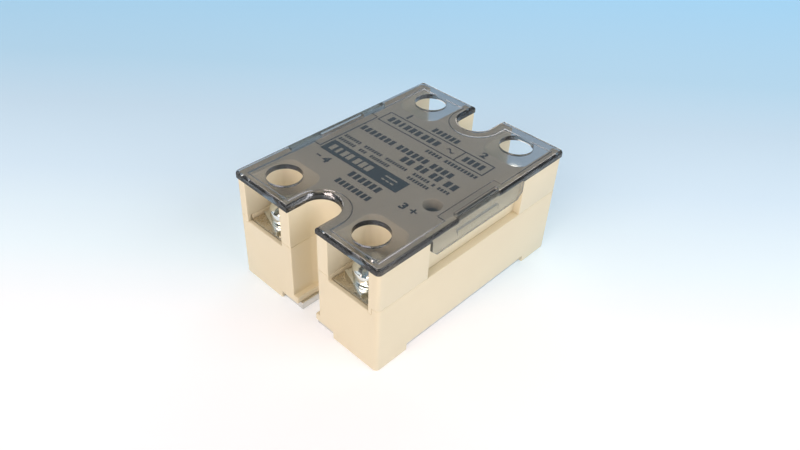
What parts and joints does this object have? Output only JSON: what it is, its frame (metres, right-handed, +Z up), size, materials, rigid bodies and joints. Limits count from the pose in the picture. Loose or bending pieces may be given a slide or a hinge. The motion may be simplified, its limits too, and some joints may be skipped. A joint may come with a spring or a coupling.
{
  "type": "solid state relay",
  "caption": "Panel-mount solid state relay: cream two-shell case on a metal base, smoke terminal cover, screw terminals in end bays, slotted fixing notches.",
  "frame": {"origin": "middle of the base plate's underside, at the bottom centre of the bounding box", "axes": "+Z up from the mounting face, +Y towards the load terminals 1 and 2, +X to the side of terminals 2 and 3"},
  "size_m": [0.0432, 0.0586, 0.0283],
  "materials": {
    "case_plastic": "fine matt moulded cream plastic",
    "smoke_cover": "clear smoke-grey moulded plastic, polished",
    "base_metal": "nickel-plated metal base, satin",
    "nickel_plate": "nickel-plated brass, slightly yellow, satin",
    "zinc_steel": "zinc-plated steel with a faint blue and yellow passivation",
    "ceramic": "white alumina ceramic",
    "copper": "bare copper",
    "silicon": "dark glossy silicon",
    "board": "green solder mask",
    "white_package": "white moulded plastic",
    "black_package": "black moulded epoxy",
    "capacitor_film": "yellow box-film capacitor case",
    "resistor_coat": "beige resistor lacquer",
    "varistor_coat": "blue epoxy coating",
    "lamp_resin": "dark clear lamp resin, unlit"
  },
  "bodies": {
    "housing": {"base_plate": "base_metal", "lower_case": "case_plastic", "upper_case": "case_plastic", "load_terminal_1": "nickel_plate", "load_terminal_2": "nickel_plate", "input_terminal_plus": "nickel_plate", "input_terminal_minus": "nickel_plate", "terminal_nuts": "zinc_steel", "ceramic_substrate": "ceramic", "copper_pads": "copper", "thyristor_chips": "silicon", "copper_clips": "copper", "gate_pins": "nickel_plate", "circuit_board": "board", "phototriac_coupler": "white_package", "snubber_capacitor": "capacitor_film", "snubber_resistor": "resistor_coat", "varistor": "varistor_coat", "gate_resistors": "resistor_coat", "input_resistors": "resistor_coat", "input_diode": "black_package", "input_transistor": "black_package", "indicator_led": "lamp_resin", "led_spacer": "white_package"},
    "cover": {"terminal_cover": "smoke_cover"},
    "washers_1": {"square_washer_1": "zinc_steel", "spring_washer_1": "zinc_steel"},
    "screw_1": {"terminal_screw_1": "zinc_steel"},
    "washers_2": {"square_washer_2": "zinc_steel", "spring_washer_2": "zinc_steel"},
    "screw_2": {"terminal_screw_2": "zinc_steel"},
    "washers_3": {"square_washer_3": "zinc_steel", "spring_washer_3": "zinc_steel"},
    "screw_3": {"terminal_screw_3": "zinc_steel"},
    "washers_4": {"square_washer_4": "zinc_steel", "spring_washer_4": "zinc_steel"},
    "screw_4": {"terminal_screw_4": "zinc_steel"}
  },
  "joints": [
    {"name": "cover_lift", "type": "slide", "parent": "housing", "child": "cover", "axis": [0, 0, 1], "range_m": [0, 0.015]},
    {"name": "washer_rise_1", "type": "slide", "parent": "housing", "child": "washers_1", "axis": [0, 0, 1], "range_m": [0, 0.0049]},
    {"name": "screw_turn_1", "type": "hinge", "parent": "washers_1", "child": "screw_1", "pos_m": [-0.013, 0.0227, 0.018], "axis": [0, 0, 1], "range_deg": [0, 2521]},
    {"name": "washer_rise_2", "type": "slide", "parent": "housing", "child": "washers_2", "axis": [0, 0, 1], "range_m": [0, 0.0049]},
    {"name": "screw_turn_2", "type": "hinge", "parent": "washers_2", "child": "screw_2", "pos_m": [0.013, 0.0227, 0.018], "axis": [0, 0, 1], "range_deg": [0, 2521]},
    {"name": "washer_rise_3", "type": "slide", "parent": "housing", "child": "washers_3", "axis": [0, 0, 1], "range_m": [0, 0.0049]},
    {"name": "screw_turn_3", "type": "hinge", "parent": "washers_3", "child": "screw_3", "pos_m": [0.013, -0.0227, 0.018], "axis": [0, 0, 1], "range_deg": [0, 2521]},
    {"name": "washer_rise_4", "type": "slide", "parent": "housing", "child": "washers_4", "axis": [0, 0, 1], "range_m": [0, 0.0049]},
    {"name": "screw_turn_4", "type": "hinge", "parent": "washers_4", "child": "screw_4", "pos_m": [-0.013, -0.0227, 0.018], "axis": [0, 0, 1], "range_deg": [0, 2521]}
  ],
  "couplings": [
    {"joint": "screw_turn_1", "follows": "washer_rise_1", "rad_per_m": 8976},
    {"joint": "screw_turn_2", "follows": "washer_rise_2", "rad_per_m": 8976},
    {"joint": "screw_turn_3", "follows": "washer_rise_3", "rad_per_m": 8976},
    {"joint": "screw_turn_4", "follows": "washer_rise_4", "rad_per_m": 8976}
  ]
}
